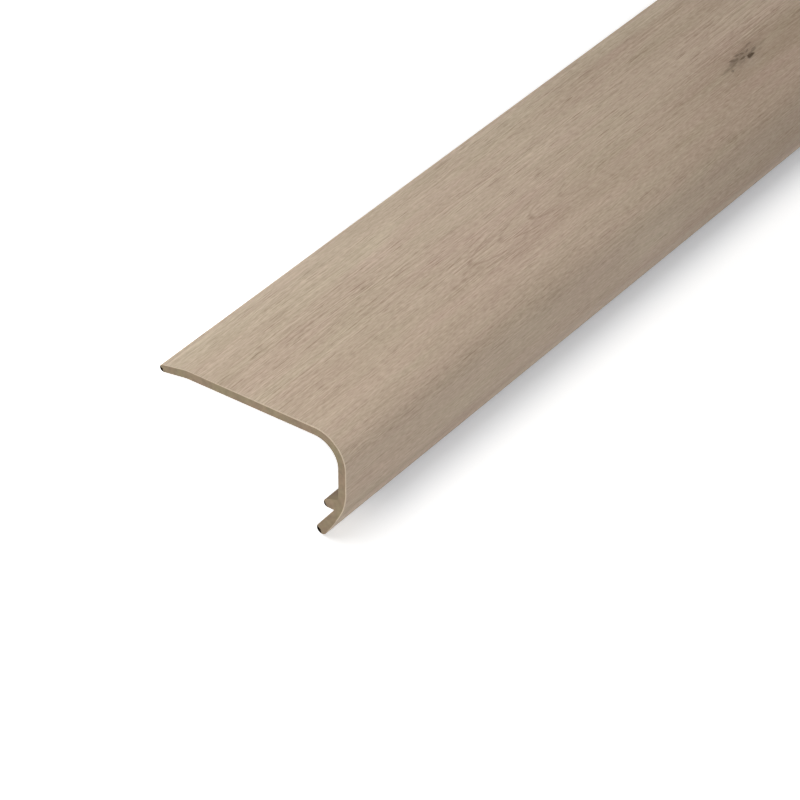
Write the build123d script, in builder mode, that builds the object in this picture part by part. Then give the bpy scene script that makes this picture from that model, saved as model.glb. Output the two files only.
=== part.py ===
from build123d import *

from math import asin, atan2, cos, degrees, radians, sin, tan
import os

# Overlapping stair nosing: one straight length of extruded profile. A flange lies over the
# tread, a round nose turns down over the edge of the step, and the front ends in a lip that
# is bent back under the edge. A short rib behind the front sets the nosing off the step.

# Stock length and wall
length = 1200.0
wall = 2.4

# Flange, from the front of the nose to its back edge, which dips to meet the tread
depth = 56.0
tail_length = 8.0
tail_dip = 11.0
tail_bend_radius = 12.0
tail_tip_radius = 1.05

# Nose and front: the front drops straight from the top face, then curves back into the lip
nose_radius = 9.4
front_straight = 15.5
front_bend_radius = 17.0

# Lip: its outer face leans back from the vertical, and it ends in a full round
lip_lean = 32.5
lip_length = 6.6
lip_root = 2.3
lip_tip_radius = 1.5

# Rib, measured down from where the front starts to curve, and back from the front face
rib_reach = 6.8
rib_top_drop = 3.0
rib_drop = 6.6
rib_tip_radius = 1.2
rib_root_fillet = 0.5


def tangent_point(start, centre, radius, side):
    """Where a line from start touches a circle, to the left (side 1) or right (side -1) of it."""
    way = centre - start
    spread = asin(radius / way.length)
    reach = way.length * cos(spread)
    heading = atan2(way.Y, way.X) + side * spread
    return start + Vector(reach * cos(heading), reach * sin(heading))


# The section is drawn as the nosing is fitted: X runs back from the front face and Y runs
# up from the top face. Directions along the tail and the lip, and square to them.
dip = radians(tail_dip)
lean = radians(lip_lean)
tail_way = Vector(cos(dip), -sin(dip))
tail_down = Vector(-sin(dip), -cos(dip))
lip_way = Vector(sin(lean), -cos(lean))
lip_inward = Vector(cos(lean), sin(lean))

# Tail: it thins a little from the bend to its tip, which is a full round
tail_bend = Vector(depth - tail_length, 0)
tail_run = (tail_length - tail_tip_radius + tail_tip_radius * sin(dip)) / cos(dip)
tail_top = tail_bend + tail_way * tail_run
tail_centre = tail_top + tail_down * tail_tip_radius
tail_bend_low = tail_bend + Vector(-wall * tan(dip / 2), -wall)
tail_low = tangent_point(tail_bend_low, tail_centre, tail_tip_radius, -1)

# Front bend and lip
bend_centre = Vector(front_bend_radius, -front_straight)
bend_corner = Vector(0, -front_straight - front_bend_radius * tan(lean / 2))
lip_start = bend_centre - lip_inward * front_bend_radius
lip_end = lip_start + lip_way * lip_length
lip_centre = lip_end + lip_inward * lip_tip_radius

# Rib, and the notch where its underside meets the inner face of the lip
rib_low = -front_straight - rib_drop
rib_centre = Vector(rib_reach - rib_tip_radius, rib_low + rib_tip_radius)
inner_bend_radius = front_bend_radius - wall
rib_root_turn = asin(rib_top_drop / inner_bend_radius)
rib_root = bend_centre - Vector(cos(rib_root_turn), sin(rib_root_turn)) * inner_bend_radius
inner_bend_mid = bend_centre - Vector(cos(rib_root_turn / 2), sin(rib_root_turn / 2)) * inner_bend_radius
inner_bend_start = Vector(wall, -front_straight)
notch_rise = rib_low - lip_start.Y
notch = Vector(lip_start.X + (lip_root - notch_rise * lip_inward.Y) / lip_inward.X, rib_low)
lip_inner = tangent_point(notch, lip_centre, lip_tip_radius, 1)
rib_top = tangent_point(rib_root, rib_centre, rib_tip_radius, 1)

with BuildSketch() as section:
    with BuildLine():
        FilletPolyline(
            tail_top,
            tail_bend,
            (0, 0),
            bend_corner,
            lip_end,
            radius=[tail_bend_radius, nose_radius, front_bend_radius],
        )
        ThreePointArc(lip_end, lip_centre + lip_way * lip_tip_radius, lip_inner)
        Line(lip_inner, notch)
        Line(notch, (rib_centre.X, rib_low))
        ThreePointArc((rib_centre.X, rib_low), (rib_reach, rib_centre.Y), rib_top)
        Line(rib_top, rib_root)
        ThreePointArc(rib_root, inner_bend_mid, inner_bend_start)
        FilletPolyline(
            inner_bend_start,
            (wall, -wall),
            tail_bend_low,
            tail_low,
            radius=[nose_radius - wall, tail_bend_radius - wall],
        )
        ThreePointArc(tail_low, tail_centre + tail_way * tail_tip_radius, tail_top)
    make_face()
    fillet(section.vertices().sort_by_distance(rib_root)[0], radius=rib_root_fillet)

# Unheld on a level floor, the nosing leans on the round of the lip and the round of the tail,
# so the section is turned until the line under both rounds is level.
span = tail_centre - lip_centre
rest_tilt = atan2(span.Y, span.X) + asin((lip_tip_radius - tail_tip_radius) / span.length)
resting = section.sketch.rotate(Axis.Z, -degrees(rest_tilt)).bounding_box()
section_plane = Plane(
    origin=(-length / 2, -resting.center().X, -resting.min.Y),
    x_dir=(0, cos(rest_tilt), -sin(rest_tilt)),
    z_dir=(1, 0, 0),
)

with BuildPart() as nosing_profile:
    with BuildSketch(section_plane):
        add(section.sketch)
    extrude(amount=length)

nosing_profile.part.label = "nosing_profile"

os.makedirs("parts", exist_ok=True)
export_step(nosing_profile.part, "parts/nosing_profile.step")
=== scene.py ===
from math import asin, atan2, cos, pi, radians, sin, sqrt, tan

import bpy
from mathutils import Matrix, Vector


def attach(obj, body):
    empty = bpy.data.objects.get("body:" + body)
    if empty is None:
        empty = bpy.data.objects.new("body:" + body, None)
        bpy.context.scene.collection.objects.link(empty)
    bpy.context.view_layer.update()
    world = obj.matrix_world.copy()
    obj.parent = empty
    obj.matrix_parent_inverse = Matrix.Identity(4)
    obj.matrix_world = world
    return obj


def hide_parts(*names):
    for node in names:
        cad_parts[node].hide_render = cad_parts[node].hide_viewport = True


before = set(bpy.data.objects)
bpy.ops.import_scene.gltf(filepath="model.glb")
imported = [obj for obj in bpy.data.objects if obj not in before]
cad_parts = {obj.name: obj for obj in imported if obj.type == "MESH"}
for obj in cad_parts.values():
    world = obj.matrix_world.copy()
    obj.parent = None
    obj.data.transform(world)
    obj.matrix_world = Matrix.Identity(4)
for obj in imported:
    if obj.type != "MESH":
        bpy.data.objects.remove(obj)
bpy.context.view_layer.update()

# Profile core: the stock itself, one straight length of brown rigid plastic.
# It is extruded through a die, so its section is the same all along, and then sawn square
# to length. The outer faces lie a film's thickness lower, where the decor is laminated on.
stock_length = 1.2
bays = 4
wall = 2.4
depth = 56.0
tail_length = 8.0
tail_dip = radians(11.0)
tail_bend_radius = 12.0
tail_tip_radius = 1.05
nose_radius = 9.4
front_straight = 15.5
front_bend_radius = 17.0
lip_lean = radians(32.5)
lip_length = 6.6
lip_root = 2.3
lip_tip_radius = 1.5
rib_reach = 6.8
rib_top_drop = 3.0
rib_drop = 6.6
rib_tip_radius = 1.2
rib_root_fillet = 0.5
film_thickness = 0.3
film_wrap = radians(25.0)
tail_film_share = 0.4
lip_film_share = 0.3
lip_film_taper = 1.2
saw_break = 0.08


def towards(angle, reach=1.0):
    """A step in the section, at an angle from the way back into the stair."""
    return Vector((reach * cos(angle), reach * sin(angle)))


def arc(centre, radius, start, end, steps):
    """Points round a bend of the section, both ends included."""
    turns = [start + (end - start) * step / steps for step in range(steps + 1)]
    return [centre + towards(turn, radius) for turn in turns]


def touching(start, centre, radius, side):
    """Angle on a round at which a line from start touches it, to the left (1) or right (-1)."""
    way = centre - start
    return atan2(way.y, way.x) + side * (asin(radius / way.length) + pi / 2)


def steadied(points, margin=0.4):
    """Points with one more close to each end of a long straight, which keeps the flats flat."""
    kept = points[:1]
    for near, far in zip(points, points[1:]):
        way = far - near
        if way.length > 3 * margin:
            kept += [near + way.normalized() * margin, far - way.normalized() * margin]
        kept.append(far)
    return kept


# The section is drawn as the nosing is fitted, in millimetres: the first number runs back from
# the front face and the second up from the top face.
tail_way = towards(-tail_dip)
lip_way = towards(lip_lean - pi / 2)
lip_inward = towards(lip_lean)
tail_bend = Vector((depth - tail_length, 0.0))
tail_run = (tail_length - tail_tip_radius + tail_tip_radius * sin(tail_dip)) / cos(tail_dip)
tail_centre = tail_bend + tail_way * tail_run - towards(pi / 2 - tail_dip, tail_tip_radius)
tail_bend_centre = tail_bend - Vector((tail_bend_radius * tan(tail_dip / 2), tail_bend_radius))
nose_centre = Vector((nose_radius, -nose_radius))
bend_centre = Vector((front_bend_radius, -front_straight))
lip_start = bend_centre - lip_inward * front_bend_radius
lip_end = lip_start + lip_way * lip_length
lip_centre = lip_end + lip_inward * lip_tip_radius


def outer_path(sunk):
    """The outer faces from the back of the tail to the end of the lip, sunk below the surface.
    The film is drawn thinner over the tail and the lip."""
    tail_sunk = sunk * tail_film_share
    bends = [
        (tail_centre, tail_tip_radius - tail_sunk, film_wrap, pi / 2 - tail_dip, 10),
        (tail_bend_centre, tail_bend_radius - tail_sunk, pi / 2 - tail_dip, pi / 2, 6),
        (nose_centre, nose_radius - sunk, pi / 2, pi, 32),
        (bend_centre, front_bend_radius - sunk, pi, pi + lip_lean, 14),
    ]
    path = [p for centre, radius, a, b, steps in bends for p in arc(centre, radius, a, b, steps)]
    lip_sunk = lip_inward * sunk * lip_film_share
    return steadied(path + [lip_start + lip_way * lip_film_taper + lip_sunk, lip_end + lip_sunk])


# Inside of the section: round of the lip, notch, rib, inner wall, underside and tail
rib_low = -front_straight - rib_drop
rib_centre = Vector((rib_reach - rib_tip_radius, rib_low + rib_tip_radius))
inner_bend_radius = front_bend_radius - wall
rib_root = bend_centre - towards(asin(rib_top_drop / inner_bend_radius), inner_bend_radius)
notch_rise = rib_low - lip_start.y
notch = Vector((lip_start.x + (lip_root - notch_rise * lip_inward.y) / lip_inward.x, rib_low))
lip_inner_turn = touching(notch, lip_centre, lip_tip_radius, 1)
rib_top_turn = touching(rib_root, rib_centre, rib_tip_radius, 1)
root_lift = rib_root + towards(rib_top_turn, rib_root_fillet) - bend_centre
root_along = root_lift.dot(towards(rib_top_turn - pi / 2))
root_reach = inner_bend_radius - rib_root_fillet
root_shift = -root_along - sqrt(root_along**2 - root_lift.length_squared + root_reach**2)
root_centre = bend_centre + root_lift + towards(rib_top_turn - pi / 2, root_shift)
root_turn = atan2(root_centre.y - bend_centre.y, root_centre.x - bend_centre.x) + 2 * pi
tail_bend_low = tail_bend - Vector((wall * tan(tail_dip / 2), wall))
tail_low_turn = touching(tail_bend_low, tail_centre, tail_tip_radius, -1)
low_dip = -tail_low_turn - pi / 2
low_radius = tail_bend_radius - wall
low_centre = tail_bend_low - Vector((low_radius * tan(low_dip / 2), low_radius))
laminated = outer_path(film_thickness)
bare = steadied(
    arc(lip_centre, lip_tip_radius, pi + lip_lean, lip_inner_turn + 2 * pi, 24)
    + [notch]
    + arc(rib_centre, rib_tip_radius, -pi / 2, rib_top_turn, 20)
    + arc(root_centre, rib_root_fillet, rib_top_turn + pi, root_turn, 6)
    + arc(bend_centre, inner_bend_radius, root_turn, pi, 8)[1:]
    + arc(nose_centre, nose_radius - wall, pi, pi / 2, 28)
    + arc(low_centre, low_radius, pi / 2, pi / 2 - low_dip, 6)
    + arc(tail_centre, tail_tip_radius, tail_low_turn, film_wrap, 20)
)

# Unheld on a level floor, the nosing leans on the round of the lip and the round of the tail.
span = tail_centre - lip_centre
rest_tilt = atan2(span.y, span.x) + asin((lip_tip_radius - tail_tip_radius) / span.length)
lean_over = Matrix.Rotation(-rest_tilt, 2)
turned = [lean_over @ point for point in outer_path(0.0) + bare]
middle = (min(p.x for p in turned) + max(p.x for p in turned)) / 2
floor_line = (lean_over @ lip_centre).y - lip_tip_radius


def resting(point):
    """Where a point of the section lies on the floor, in metres across the stock and up."""
    there = lean_over @ Vector(point)
    return Vector((there.x - middle, there.y - floor_line)) / 1000


def put(tree, kind, wires=(), **settings):
    """Adds a node, sets it, wires its inputs or gives them values, and returns its outputs."""
    node = tree.nodes.new(kind)
    for name, value in settings.items():
        setattr(node, name, value)
    for name, value in dict(wires).items():
        if isinstance(value, bpy.types.NodeSocket):
            tree.links.new(value, node.inputs[name])
        else:
            node.inputs[name].default_value = value
    return node.outputs


# What counts as a sawn face, a crisp fold and a broken edge painted dark as shade
sawn_facing = 0.9
crisp_fold = radians(28.0)
tip_shade_from = 0.3


def swept_section():
    """The tree that pulls a closed section along the stock and breaks the sawn edges."""
    tree = bpy.data.node_groups.new("swept_section", "GeometryNodeTree")
    for name, kind in (
        ("Section", "NodeSocketGeometry"),
        ("Length", "NodeSocketFloat"),
        ("Bays", "NodeSocketInt"),
        ("Saw break", "NodeSocketFloat"),
        ("Face material", "NodeSocketMaterial"),
        ("Sawn material", "NodeSocketMaterial"),
        ("Tip material", "NodeSocketMaterial"),
    ):
        tree.interface.new_socket(name=name, in_out="INPUT", socket_type=kind)
    tree.interface.new_socket(name="Stock", in_out="OUTPUT", socket_type="NodeSocketGeometry")
    sizes = tree.nodes.new("NodeGroupInput").outputs

    def add(kind, wires, **settings):
        return put(tree, kind, wires, **settings)

    half = add("ShaderNodeMath", {0: sizes["Length"], 1: 0.5}, operation="MULTIPLY")
    inside = add("ShaderNodeMath", {0: half[0], 1: sizes["Saw break"]}, operation="SUBTRACT")
    outside = add("ShaderNodeMath", {0: inside[0], 1: -1.0}, operation="MULTIPLY")
    near = add("ShaderNodeCombineXYZ", {"X": outside[0]})
    far = add("ShaderNodeCombineXYZ", {"X": inside[0]})
    line = add("GeometryNodeCurvePrimitiveLine", {"Start": near[0], "End": far[0]})
    stations = add("ShaderNodeMath", {0: sizes["Bays"], 1: 1.0}, operation="ADD")
    path = add("GeometryNodeResampleCurve", {"Curve": line[0], "Count": stations[0]})
    outline = add("GeometryNodeMeshToCurve", {"Mesh": sizes["Section"]})
    pulled = {"Curve": path[0], "Profile Curve": outline[0], "Fill Caps": True}
    stock = add("GeometryNodeCurveToMesh", pulled)
    # The sweep turns the section over, so the stock is turned back
    upright = add("GeometryNodeTransform", {"Geometry": stock[0], "Rotation": (pi, 0, 0)})
    facing = add("ShaderNodeSeparateXYZ", {"Vector": add("GeometryNodeInputNormal", {})[0]})
    square = add("ShaderNodeMath", {0: facing[0]}, operation="ABSOLUTE")
    sawn = add("ShaderNodeMath", {0: square[0], 1: sawn_facing}, operation="GREATER_THAN")
    stepped = {"Mesh": upright[0], "Selection": sawn[0], "Offset Scale": sizes["Saw break"]}
    ends = add("GeometryNodeExtrudeMesh", stepped | {"Individual": False}, mode="FACES")
    inset = add("GeometryNodeInputNamedAttribute", {"Name": "inset"}, data_type="FLOAT_VECTOR")
    drawn_in = {"Geometry": ends["Mesh"], "Selection": ends["Top"], "Offset": inset[0]}
    broken = add("GeometryNodeSetPosition", drawn_in)
    soft = {"Geometry": broken[0], "Shade Smooth": True}
    smooth = add("GeometryNodeSetShadeSmooth", soft, domain="FACE")
    fold = add("GeometryNodeInputMeshEdgeAngle", {})["Unsigned Angle"]
    sharp = add("ShaderNodeMath", {0: fold, 1: crisp_fold}, operation="GREATER_THAN")
    hard = {"Geometry": smooth[0], "Selection": sharp[0], "Shade Smooth": False}
    crisp = add("GeometryNodeSetShadeSmooth", hard, domain="EDGE")
    whole = add("GeometryNodeRealizeInstances", {"Geometry": crisp[0]})
    faced = {"Geometry": whole[0], "Material": sizes["Face material"]}
    faced = add("GeometryNodeSetMaterial", faced)
    either = add("FunctionNodeBooleanMath", {0: ends["Top"], 1: ends["Side"]}, operation="OR")
    cut = {"Geometry": faced[0], "Selection": either[0], "Material": sizes["Sawn material"]}
    cut = add("GeometryNodeSetMaterial", cut)
    # Broken sawn edges that take painted shade at the tips get the tip material
    tip_shade = add("GeometryNodeInputNamedAttribute", {"Name": "tip_shade"}, data_type="FLOAT")
    tip_shade_wires = {0: tip_shade[0], 1: tip_shade_from}
    dark = add("ShaderNodeMath", tip_shade_wires, operation="GREATER_THAN")
    edge = add("FunctionNodeBooleanMath", {0: ends["Side"], 1: dark[0]}, operation="AND")
    tipped = {"Geometry": cut[0], "Selection": edge[0], "Material": sizes["Tip material"]}
    tipped = add("GeometryNodeSetMaterial", tipped)
    tree.links.new(tipped[0], tree.nodes.new("NodeGroupOutput").inputs[0])
    return tree


sweep = swept_section()

# Shares of the map for baking: its side margin and foot, the bands of the broken edges, the part
# of a strip that is used, and how far hidden faces are squeezed
map_margin = 0.01
map_width = 0.98
map_foot = 0.005
band_step = 0.015
band_height = 0.01
bands_height = 0.035
strip_used = 0.97
hidden_squeeze = 0.06


def lay_flat(mesh, lengths, hidden, end_width):
    """Gives a piece its map for baking: the sawn ends, a thin band for each broken edge, and above
    them the faces in two long strips, half of the stock in each, with the hidden faces squeezed."""
    shares = []
    for squeeze in (1.0, hidden_squeeze):
        run = [0.0]
        for i, length in enumerate(lengths):
            run.append(run[-1] + length * (squeeze if i in hidden else 1.0))
        shares.append([r / run[-1] for r in run])
    edge_share, strip_share = shares
    low_y = min(v.co.y for v in mesh.vertices)
    high_y = max(v.co.y for v in mesh.vertices)
    end_scale = end_width / (high_y - low_y)
    bands = band_step + end_scale * max(v.co.z for v in mesh.vertices)
    strips = bands + bands_height
    strip_height = (1.0 - map_foot - strips) / 2
    station = mesh.attributes["station"].data
    spots = mesh.uv_layers.new(name="OFBake").data
    for face in mesh.polygons:
        far = face.center.x > 0
        corners = [(loop, mesh.loops[loop].vertex_index) for loop in face.loop_indices]
        places = [station[v].value for loop, v in corners]
        closes = max(places) - min(places) > 1
        for (loop, v), place in zip(corners, places):
            x, y, z = mesh.vertices[v].co
            if closes and place == 0:
                place = len(lengths)
            if len(corners) > 4:
                end_start = map_margin + far * 0.5
                spot = (end_start + (y - low_y) * end_scale, map_foot + z * end_scale)
            elif abs(face.center.x) > stock_length / 2 - saw_break / 1000:
                outermost = abs(x) > stock_length / 2 - saw_break / 2000
                band = bands + band_step * far + band_height * outermost
                spot = (map_margin + map_width * edge_share[place], band)
            else:
                along = x / stock_length * 2 + (0.0 if far else 1.0)
                strip = strips + strip_height * (far + strip_used * strip_share[place])
                spot = (map_margin + map_width * along, strip)
            spots[loop].uv = spot


def stock_piece(name, points, breaks, tip_shade, across, hidden, end_width, materials):
    """Sweeps a closed section, given as points in millimetres, into a plain mesh of the stock.
    Each point has the width of its broken edge, its share of painted shade and its place across the
    film."""
    places = [resting(p) for p in points]
    count = len(places)
    mesh = bpy.data.meshes.new(name)
    edges = [(i, (i + 1) % count) for i in range(count)]
    mesh.from_pydata([(p.x, p.y, 0.0) for p in places], edges, [])
    mesh.attributes.new("inset", "FLOAT_VECTOR", "POINT")
    mesh.attributes.new("tip_shade", "FLOAT", "POINT")
    mesh.attributes.new("across", "FLOAT", "POINT")
    mesh.attributes.new("station", "INT", "POINT")
    mesh.attributes["tip_shade"].data.foreach_set("value", tip_shade)
    mesh.attributes["across"].data.foreach_set("value", [a / 1000 for a in across])
    mesh.attributes["station"].data.foreach_set("value", range(count))
    inset = mesh.attributes["inset"].data
    for i, place in enumerate(places):
        ahead = (places[(i + 1) % count] - place).normalized()
        behind = (place - places[i - 1]).normalized()
        along = (ahead + behind).normalized()
        inset[i].vector = Vector((0.0, -along.y, along.x)) * breaks[i] / 1000
    piece = bpy.data.objects.new(name, mesh)
    bpy.context.scene.collection.objects.link(piece)
    modifier = piece.modifiers.new("sweep", "NODES")
    modifier.node_group = sweep
    values = {"Length": stock_length, "Bays": bays, "Saw break": saw_break / 1000} | materials
    for socket in sweep.interface.items_tree:
        if socket.name in values:
            modifier[socket.identifier] = values[socket.name]
    bpy.context.view_layer.update()
    made = piece.evaluated_get(bpy.context.evaluated_depsgraph_get())
    finished = bpy.data.meshes.new_from_object(made)
    piece.modifiers.clear()
    piece.data = finished
    finished.name = name
    lay_flat(finished, [(places[b] - places[a]).length for a, b in edges], hidden, end_width)
    for spent in ("inset", "tip_shade", "station"):
        finished.attributes.remove(finished.attributes[spent])
    return piece


def paint(red, green, blue):
    """A colour as it is seen on a screen, from 0 to 255, in the linear numbers that nodes use."""
    return [((c / 255 + 0.055) / 1.055) ** 2.4 for c in (red, green, blue)] + [1.0]


def plain(name):
    """A new material with nothing but its shader: the material, its tree and the shader's inputs."""
    material = bpy.data.materials.new(name)
    material.use_nodes = True
    shader = material.node_tree.nodes["Principled BSDF"]
    return material, material.node_tree, shader.inputs


def ranged(value, low, high, to_low=0.0, to_high=1.0, way="LINEAR"):
    """A value stretched from one range to another, and held inside it."""
    wires = {"Value": value, "From Min": low, "From Max": high, "To Min": to_low, "To Max": to_high}
    return put(tree, "ShaderNodeMapRange", wires, interpolation_type=way)[0]


def sums(way, one, other=0.0):
    """One sum on two values: MULTIPLY, ADD and so on."""
    return put(tree, "ShaderNodeMath", {0: one, 1: other}, operation=way)[0]


def mixed(share, one, other):
    """One colour changed towards another."""
    wires = {"Factor": share, "A": one, "B": other}
    return put(tree, "ShaderNodeMix", wires, data_type="RGBA")["Result"]


def finish(colour, dullness, height, strength, distance):
    """Wires a colour, a roughness and a relief into the shader."""
    tree.links.new(colour, shader["Base Color"])
    tree.links.new(dullness, shader["Roughness"])
    wires = {"Height": height, "Strength": strength, "Distance": distance}
    tree.links.new(put(tree, "ShaderNodeBump", wires)[0], shader["Normal"])


core_brown, tree, shader = plain("extruded_brown")
place = put(tree, "ShaderNodeTexCoord")["Object"]
drawn = put(tree, "ShaderNodeMapping", {"Vector": place, "Scale": (3, 900, 900)})
die_lines = put(tree, "ShaderNodeTexNoise", {"Vector": drawn[0], "Scale": 1.0, "Detail": 3.0})
mottle = put(tree, "ShaderNodeTexNoise", {"Vector": place, "Scale": 420.0, "Detail": 4.0})
blend = sums("ADD", die_lines[0], mottle[0])
batch = put(tree, "ShaderNodeTexNoise", {"Vector": place, "Scale": 190.0, "Detail": 2.0})[0]
dark_brown = mixed(ranged(batch, 0.35, 0.65), paint(131, 117, 90), paint(135, 114, 92))
light_brown = mixed(ranged(batch, 0.35, 0.65), paint(153, 138, 109), paint(157, 135, 111))
core_colour = mixed(ranged(blend, 0.7, 1.3), dark_brown, light_brown)
finish(core_colour, ranged(mottle[0], 0.2, 0.8, 0.48, 0.62), blend, 0.25, 0.00008)
shader["Specular IOR Level"].default_value = 0.3

# Painted shade: the broken sawn edges at the tips of the section are painted near black on the side
# that faces back and down
painted_tip_shade, tree, shader = plain("painted_tip_shade")
place = put(tree, "ShaderNodeTexCoord")["Object"]
tip_shade_noise = put(tree, "ShaderNodeTexNoise", {"Vector": place, "Scale": 1500.0, "Detail": 3.0})[0]
tip_shade_colour = mixed(ranged(tip_shade_noise, 0.3, 0.7), paint(14, 9, 7), paint(34, 26, 20))
finish(tip_shade_colour, ranged(tip_shade_noise, 0.2, 0.8, 0.7, 0.85), tip_shade_noise, 0.3, 0.00005)
shader["Specular IOR Level"].default_value = 0.0
tip_shade_facing = radians(-35.0)
tip_shade_spread = radians(64.0)
shaded_rounds = [
    (lip_centre, lip_tip_radius, 1.0),
    (rib_centre, rib_tip_radius, 0.5),
    (tail_centre, tail_tip_radius, 0.92),
]
core_end_on_map = 0.47


def tip_shading(point):
    """How much painted shade the broken edge at a point of the section takes, as a share of the most,
    and its width.
    """
    for centre, radius, width in shaded_rounds:
        out = point - centre
        turn = atan2(out.y, out.x) - tip_shade_facing
        if abs(out.length - radius) < 0.01 and abs(turn) < tip_shade_spread:
            share = cos(turn * pi / 2 / tip_shade_spread)
            return share, share * width
    return 0.0, 0.0


# For each point of the section, its share of painted shade and how wide that dark edge is
marks = [tip_shading(point) for point in bare]
core_breaks = [saw_break + width for share, width in marks]
core_breaks[0] = core_breaks[-1] = 0.0
profile_core = stock_piece(
    "profile_core",
    laminated + bare,
    [0.0] * len(laminated) + core_breaks,
    [0.0] * len(laminated) + [share for share, width in marks],
    [0.0] * len(laminated + bare),
    range(len(laminated)),
    core_end_on_map,
    {"Face material": core_brown, "Sawn material": core_brown, "Tip material": painted_tip_shade},
)
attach(profile_core, "root")
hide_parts("nosing_profile")

# Decor film: a printed oak foil under a clear wear layer, three tenths of a millimetre thick.
# It is laminated over every face that shows on the stair, from the back of the tail over the
# nose to the end of the lip, and is sawn through together with the core.
film_set_in = 0.02
film_end_on_map = 0.3
# The face of the film is set in by a hair, so that it stays inside the solid
skin = outer_path(film_set_in)
reach = [0.0]
for near, far in zip(skin, skin[1:]):
    reach.append(reach[-1] + (far - near).length)
on_top = [r for r, point in zip(reach, skin) if point.x > nose_radius - 0.01 and point.y > -1]
nose_reach = max(on_top)

decor_oak, tree, shader = plain("printed_oak")
along = put(tree, "ShaderNodeSeparateXYZ", {"Vector": put(tree, "ShaderNodeTexCoord")["Object"]})[0]
wide = put(tree, "ShaderNodeAttribute", attribute_name="across")["Fac"]
sheet = put(tree, "ShaderNodeCombineXYZ", {"X": along, "Y": wide})[0]


def grain(length, width, detail=2.0, rough=0.5, kind="ShaderNodeTexNoise", on=None):
    """A pattern drawn out along the stock, from the length and width of its marks in millimetres."""
    scale = (1000 / length, 1000 / width, 1.0)
    drawn = put(tree, "ShaderNodeVectorMath", {0: on or swayed, 1: scale}, operation="MULTIPLY")[0]
    wires = {"Vector": drawn, "Scale": 1.0}
    if kind == "ShaderNodeTexNoise":
        wires |= {"Detail": detail, "Roughness": rough}
    return put(tree, kind, wires)


sway = ranged(grain(180, 22, on=sheet)[0], 0.2, 0.8, -0.0012, 0.0012)
sway = sums("ADD", sway, ranged(grain(30, 6, on=sheet)[0], 0.2, 0.8, -0.0003, 0.0003))
swayed = put(tree, "ShaderNodeCombineXYZ", {"X": along, "Y": sums("ADD", wide, sway)})[0]

# Tone: broad bands, fine lines that are stronger where the pores crowd and calmer towards the
# front, and short flecks
streaks = grain(150, 14, detail=2.0, rough=0.8)[0]
crowding = grain(45, 5)[0]
lines = grain(20, 0.6, detail=2.0, rough=0.8)[0]
calm = ranged(wide, 0.030, 0.046, 1.0, 0.6)
line_depth = sums("MULTIPLY", ranged(crowding, 0.38, 0.66, 0.09, 0.24), calm)
lined = sums("MULTIPLY", ranged(lines, 0.3, 0.7, -1.0, 1.0), line_depth)
flecks = grain(2.2, 0.34, detail=1.0)[0]
tone = sums("ADD", ranged(streaks, 0.3, 0.7, 0.93, 1.09), lined)
tone = sums("ADD", tone, ranged(flecks, 0.2, 0.8, -0.16, 0.16))


def curve(value, low, high, points):
    """A value that runs smoothly through points, each a place from low to high and a level."""
    node = tree.nodes.new("ShaderNodeFloatCurve")
    tree.links.new(ranged(value, low, high), node.inputs["Value"])
    line = node.mapping.curves[0].points
    while len(line) < len(points):
        line.new(0.5, 0.5)
    for knee, (place, level) in zip(line, points):
        knee.location = ((place - low) / (high - low), level / 2)
    node.mapping.update()
    return sums("MULTIPLY", node.outputs[0], 2.0)


film_width = reach[-1] / 1000
# Across the film: lighter at the back of the top, darker where the nose starts and in a band along
# the bend at the foot of the front. This is partly the print's own tone and partly painted light and
# shade.
across_shade_and_tone = [
    (0.0, 1.1),
    (0.012, 1.06),
    (0.034, 1.025),
    (0.0455, 0.975),
    (0.054, 1.02),
    (0.064, 1.06),
    (0.0715, 0.95),
    (0.074, 0.88),
    (0.077, 0.95),
    (0.0805, 1.04),
    (film_width, 1.06),
]
# Along the stock: darker some way from the near end and lighter again further on. This is partly the
# wood's tone drifting and partly painted light falling off away from the near end.
along_shade_and_tone = [
    (-0.6, 1.01),
    (-0.5, 0.985),
    (-0.38, 0.87),
    (-0.2, 0.93),
    (0.05, 1.0),
    (0.3, 0.92),
    (0.6, 0.99),
]
tone = sums("MULTIPLY", tone, curve(sums("ADD", wide, sway), 0.0, film_width, across_shade_and_tone))
tone = sums("MULTIPLY", tone, curve(along, -0.6, 0.6, along_shade_and_tone))

# Figure: nested arches where the saw met the growth rings of the plank
ring_gap = 13.2
ring_bow = 0.9
arch_depth = 0.14
arches = 0.0
# From the near end to the tip, back from the front, and the way that the arch opens
arch_tips = [(0.074, 19.0, 1), (0.43, 30.0, 1), (0.78, 22.0, -1), (1.02, 34.0, 1)]
for tip, back, opening in arch_tips:
    spot = (tip - stock_length / 2, (nose_reach + nose_radius - back) / 1000, 0.0)
    wires = {"Vector": swayed, "Location": spot, "Scale": (0.001 * opening, 0.001, 1.0)}
    arch = put(tree, "ShaderNodeMapping", wires, vector_type="TEXTURE")[0]
    arch = put(tree, "ShaderNodeSeparateXYZ", {"Vector": arch})
    bow = sums("MULTIPLY", sums("MULTIPLY", arch[1], arch[1]), ring_bow)
    rings = sums("SINE", sums("MULTIPLY", sums("SUBTRACT", arch[0], bow), 2 * pi / ring_gap))
    beside = sums("ABSOLUTE", arch[1])
    shown = sums("MULTIPLY", ranged(arch[0], -6, 4, 0, 1), ranged(arch[0], 35, 60, 1, 0))
    shown = sums("MULTIPLY", shown, ranged(beside, 5, 8.5, 1, 0))
    arches = sums("ADD", arches, sums("MULTIPLY", shown, ranged(rings, 0.75, 1.0, 0, 1)))
tone = sums("SUBTRACT", tone, sums("MULTIPLY", arches, arch_depth))


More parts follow.
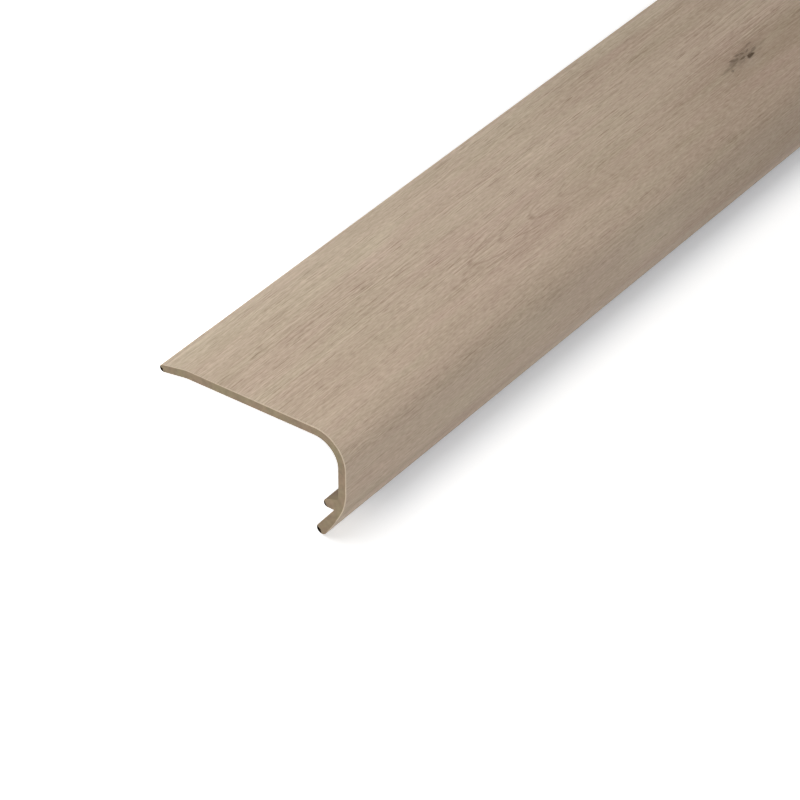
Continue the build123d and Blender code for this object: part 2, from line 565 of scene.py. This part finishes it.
# Pores and hairs: short dark and light dashes, crowded in some bands
def dashes(length, width, fewest, most, on):
    """Scattered dashes, from 0 to 1, of which more show where they crowd."""
    cells = grain(length, width, kind="ShaderNodeTexVoronoi", on=on)
    pick = put(tree, "ShaderNodeSeparateColor", {"Color": cells["Color"]})
    shape = ranged(cells["Distance"], 0.18, 0.32, 1.0, 0.0)
    kept = sums("LESS_THAN", pick[0], ranged(crowding, 0.35, 0.68, fewest, most))
    strength = sums("MULTIPLY", ranged(pick[1], 0.0, 1.0, 0.3, 1.0), calm)
    return sums("MULTIPLY", sums("MULTIPLY", shape, kept), strength)


dash_length = 12.0
dash_width = 0.38
pore_depth = 0.38
hair_lift = 0.19
pores = dashes(dash_length, dash_width, 0.1, 0.7, swayed)
between_pores = {0: swayed, 1: (0.0034, 0.00027, 0.0)}
shifted = put(tree, "ShaderNodeVectorMath", between_pores, operation="ADD")[0]
hairs = dashes(dash_length, dash_width, 0.15, 0.65, shifted)
tone = sums("ADD", tone, sums("MULTIPLY", hairs, hair_lift))
tone = sums("SUBTRACT", tone, sums("MULTIPLY", pores, pore_depth))

# Knots: each has a dark heart with torn streaks beside it, lies in a darker cloud of grain, and
# has a pale grey bloom in front. The longer darker cloud on the front face beside each knot is
# partly the grain's tone and partly painted shade.
rough_edge = grain(2.0, 0.5, detail=2.0)
ragged = ranged(rough_edge[0], 0.25, 0.75, -0.3, 0.3)
fleck_rim = 0.9


def fleck(place, back, half_length, half_width, tilt=0.0, fade=0.5):
    """Share of a spot on the print, 1 at its heart and 0 outside, with a ragged edge that fades."""
    spot = (place, (nose_reach + nose_radius - back) / 1000, 0.0)
    size = (half_length / 1000, half_width / 1000, 1.0)
    wires = {"Vector": sheet, "Location": spot, "Rotation": (0, 0, tilt), "Scale": size}
    there = put(tree, "ShaderNodeMapping", wires, vector_type="TEXTURE")[0]
    away = put(tree, "ShaderNodeVectorMath", {0: there}, operation="LENGTH")["Value"]
    return ranged(sums("ADD", away, ragged), fleck_rim + fade, fleck_rim - fade, way="SMOOTHSTEP")


# Along the stock and towards the tail from the heart, half length, half width, tilt and strength
knot_marks = [
    (0.0, 0.0, 1.95, 0.9, 8, 0.95),
    (3.0, 1.0, 1.9, 0.55, 16, 0.5),
    (7.9, 1.1, 2.6, 0.4, 5, 0.22),
    (4.7, 3.7, 2.0, 0.35, 5, 0.35),
    (1.4, 2.0, 1.5, 0.36, 20, 0.5),
    (-0.8, 2.3, 1.0, 0.45, -15, 0.65),
    (-2.3, 2.7, 1.5, 0.42, -10, 0.6),
    (-2.4, 0.8, 1.6, 0.45, 2, 0.75),
    (-4.9, 1.8, 2.2, 0.75, -16, 0.66),
    (-6.2, 1.3, 3.6, 1.1, 17, 0.45),
    (-10.0, 0.7, 3.6, 0.7, 8, 0.28),
    (-10.0, -0.7, 0.8, 0.5, 25, 0.5),
    (-2.6, 1.2, 6.0, 2.0, 10, 0.34),
    (-1.5, 0.8, 10.0, 2.8, 6, 0.16),
]
# Along the stock, back from the front, the way that it points, and size
knots = [(-0.39515, 17.64, 1, 1.0), (0.105, 33.0, -1, 0.8), (0.452, 24.0, 1, 0.9)]
mark_fade = 0.35
cloud_depth = 0.11
bloom_share = 0.15
knot_dark = 0.0
knot_bloom = 0.0
for place, back, turn, size in knots:
    cloud = fleck(place + 0.005 * turn, back, 40.0 * size, 9.0 * size)
    # In part painted shade: a long darker cloud on the front face beside the knot
    front_shade_cloud = fleck(place + 0.03 * turn, -14.0, 70.0 * size, 10.0)
    cloud_and_front_shade = sums("ADD", cloud, front_shade_cloud)
    tone = sums("SUBTRACT", tone, sums("MULTIPLY", cloud_and_front_shade, cloud_depth))
    bloom = fleck(place - 0.0029 * turn * size, back - 2.3 * size, 4.5 * size, 1.8 * size)
    knot_bloom = sums("MAXIMUM", knot_bloom, bloom)
    for ahead, aside, half_length, half_width, tilt, strength in knot_marks:
        ahead_at = place + ahead * turn * size / 1000
        aside_at = back + aside * size
        lean = radians(-tilt * turn)
        mark = fleck(ahead_at, aside_at, half_length * size, half_width * size, lean, mark_fade)
        knot_dark = sums("MAXIMUM", knot_dark, sums("MULTIPLY", mark, strength))

# One dark speck lies by itself on the edge of the lip
speck_place = -0.4088
speck_from_edge = 0.9
speck_strength = 0.8
speck = fleck(speck_place, nose_reach + nose_radius - reach[-1] + speck_from_edge, 0.55, 1.3)
knot_dark = sums("MAXIMUM", knot_dark, sums("MULTIPLY", speck, speck_strength))

# Colour: rose and straw bands of one brightness, which turn browner where the tone is darker
bands = grain(60, 7, detail=3.0, rough=0.7)[0]
rose = ranged(sums("SUBTRACT", bands, ranged(wide, 0.006, 0.018, 0.1, 0.0)), 0.32, 0.68)
dark_oak = mixed(rose, paint(134.5, 114, 92.5), paint(137, 111.5, 94))
light_oak = mixed(rose, paint(204.5, 188.5, 165.5), paint(207, 186, 167))
oak = mixed(ranged(tone, 0.5, 1.3), dark_oak, light_oak)
oak = mixed(sums("MULTIPLY", knot_bloom, bloom_share), oak, paint(176, 162, 147))
oak = mixed(knot_dark, oak, paint(68, 50, 30))

dullness = ranged(streaks, 0.35, 0.65, 0.62, 0.52)
height = sums("SUBTRACT", sums("ADD", sums("MULTIPLY", lines, 0.6), flecks), pores)
finish(oak, dullness, height, 0.4, 0.00007)
shader["Specular IOR Level"].default_value = 0.15

# The sawn edge of the film is painted pale beige, lighter than the print beside it, so it shows as a
# light line round the outer edge of the sawn end
film_edge, tree, shader = plain("cut_film_edge")
place = put(tree, "ShaderNodeTexCoord")["Object"]
speckle = put(tree, "ShaderNodeTexNoise", {"Vector": place, "Scale": 900.0, "Detail": 3.0})[0]
edge_colour = mixed(ranged(speckle, 0.3, 0.7), paint(198, 181, 158), paint(208, 191, 168))
finish(edge_colour, ranged(speckle, 0.3, 0.7, 0.5, 0.62), speckle, 0.2, 0.00004)
shader["Specular IOR Level"].default_value = 0.25

decor_film = stock_piece(
    "decor_film",
    skin + laminated[::-1],
    [saw_break] * len(skin) + [0.0] * len(laminated),
    [0.0] * (len(skin) + len(laminated)),
    reach + reach[::-1],
    range(len(skin) - 1, len(skin) + len(laminated)),
    film_end_on_map,
    {"Face material": decor_oak, "Sawn material": film_edge, "Tip material": film_edge},
)
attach(decor_film, "root")
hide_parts("nosing_profile")

# Floor: a plain matt studio floor that the nosing lies on. It glows a little to the camera, so
# that it is white but for the nosing's own soft shadow along the front. There is no shade in
# the open ends, and further off it is pure white.
floor_half = 6
shade_depth = 0.235
doorway_glow = 0.55
away_glow = 0.75
floor_mesh = bpy.data.meshes.new("floor")
floor_corners = [(floor_half * x, floor_half * y, 0) for x, y in ((-1, -1), (1, -1), (1, 1), (-1, 1))]
floor_mesh.from_pydata(floor_corners, [], [(0, 1, 2, 3)])
floor = bpy.data.objects.new("floor", floor_mesh)
bpy.context.scene.collection.objects.link(floor)
floor_white = bpy.data.materials.new("floor_white")
floor_white.use_nodes = True
tree = floor_white.node_tree
tree.nodes.clear()
matt = put(tree, "ShaderNodeBsdfDiffuse", {"Color": (0.93, 0.93, 0.93, 1)})
spot = put(tree, "ShaderNodeSeparateXYZ", {"Vector": put(tree, "ShaderNodeTexCoord")["Object"]})
off_middle = sums("ABSOLUTE", spot[0])
front = ranged(spot[1], -0.0245, -0.0285, way="SMOOTHSTEP")
shaded = sums("MULTIPLY", front, ranged(spot[1], -0.041, -0.0255, way="SMOOTHSTEP"))
shaded = sums("MULTIPLY", shaded, ranged(off_middle, 0.596, 0.572, way="SMOOTHSTEP"))
doorway = sums("MULTIPLY", ranged(off_middle, 0.53, 0.565), ranged(front, 0.0, 1.0, 1.0, 0.0))
doorway = sums("MULTIPLY", doorway, ranged(spot[1], 0.046, 0.026))
whiteness = ranged(front, 0.0, 1.0, 0.36, 0.41)
whiteness = sums("SUBTRACT", whiteness, sums("MULTIPLY", shaded, shade_depth))
whiteness = sums("ADD", whiteness, sums("MULTIPLY", doorway, doorway_glow))
away_ends = sums("SUBTRACT", off_middle, stock_length / 2)
away_sides = sums("SUBTRACT", sums("ABSOLUTE", spot[1]), depth / 2000)
away = sums("MAXIMUM", away_ends, away_sides)
whiteness = sums("ADD", whiteness, ranged(away, 0.025, 0.16, 0.0, away_glow, way="SMOOTHSTEP"))


def watched():
    """Whether the camera sees a surface, straight or in a reflection."""
    seen = put(tree, "ShaderNodeLightPath")
    mirrored = sums("MAXIMUM", seen["Is Glossy Ray"], seen["Is Transmission Ray"])
    return sums("MAXIMUM", seen["Is Camera Ray"], mirrored)


# The shade is a little blue, which takes out the brown that the nosing throws on the floor
shade_white = mixed(shaded, (1.0, 1.0, 1.0, 1.0), (0.77, 0.87, 1.0, 1.0))
glowing = {"Color": shade_white, "Strength": sums("MULTIPLY", watched(), whiteness)}
glow = put(tree, "ShaderNodeEmission", glowing)
both = put(tree, "ShaderNodeAddShader", {0: matt[0], 1: glow[0]})
tree.links.new(both[0], tree.nodes.new("ShaderNodeOutputMaterial").inputs["Surface"])
floor_mesh.materials.append(floor_white)

# Light: a white room, a long softbox above and behind, a low strip in front, two small lamps at
# the sawn end that faces the camera, and two wider ones over the far half.
world = bpy.data.worlds.new("studio")
bpy.context.scene.world = world
world.use_nodes = True
tree = world.node_tree
tree.nodes.clear()
room_strength = 0.26
room = put(tree, "ShaderNodeBackground", {"Color": (1, 1, 1, 1), "Strength": room_strength})
white = put(tree, "ShaderNodeBackground", {"Color": (1, 1, 1, 1), "Strength": 1.0})
shown = put(tree, "ShaderNodeMixShader", {0: watched(), 1: room[0], 2: white[0]})
tree.links.new(shown[0], tree.nodes.new("ShaderNodeOutputWorld").inputs["Surface"])

# Name, place, the point along the stock that it is aimed at, width, height and watts
for name, place, aim, width, height, power in (
    ("softbox", (-0.1, 0.42, 1.00), -0.1, 1.6, 0.5, 4.6),
    ("front_strip", (-0.1, -0.60, 0.12), -0.1, 1.6, 0.2, 1.06),
    ("end_lamp_back", (-0.78, 0.22, 0.26), -0.5, 0.22, 0.22, 0.66),
    ("end_lamp_front", (-0.80, -0.15, 0.20), -0.5, 0.2, 0.2, 0.21),
    ("far_lamp_back", (0.36, 0.22, 0.44), 0.36, 0.6, 0.25, 0.75),
    ("far_lamp_front", (0.36, -0.32, 0.22), 0.36, 0.6, 0.2, 0.3),
):
    lamp_data = bpy.data.lights.new(name, "AREA")
    lamp_data.shape = "RECTANGLE"
    lamp_data.size = width
    lamp_data.size_y = height
    lamp_data.energy = power
    lamp = bpy.data.objects.new(name, lamp_data)
    bpy.context.scene.collection.objects.link(lamp)
    lamp.location = place
    shines = Vector((aim, 0.0, 0.0)) - lamp.location
    lamp.rotation_euler = shines.to_track_quat("-Z", "Y").to_euler()
    lamp.visible_camera = False

# Camera: above the sawn end and to its left, as the photograph looks at the nosing fitted on a
# step, turned over with the nosing into the way that it lies on the floor.
camera_data = bpy.data.cameras.new("camera")
camera_data.sensor_width = 36.0
camera_data.lens = 174.396
camera_data.clip_start = 0.05
camera = bpy.data.objects.new("camera", camera_data)
bpy.context.scene.collection.objects.link(camera)
azimuth = radians(-53.66069)
elevation = radians(35.77981)
right = Vector((cos(azimuth), sin(azimuth), 0.0))
back = Vector((sin(azimuth) * cos(elevation), -cos(azimuth) * cos(elevation), sin(elevation)))
over = Matrix.Rotation(-rest_tilt, 3, "X")
stand = Matrix((over @ right, over @ back.cross(right), over @ back)).transposed()
sight = Vector((-578.26, -441.09, 535.76))
lies = resting(sight.yz)
spot = Matrix.Translation((sight.x / 1000 - stock_length / 2, lies.x, lies.y))
camera.matrix_world = spot @ stand.to_4x4()
bpy.context.scene.camera = camera
bpy.context.scene.view_settings.view_transform = "Standard"
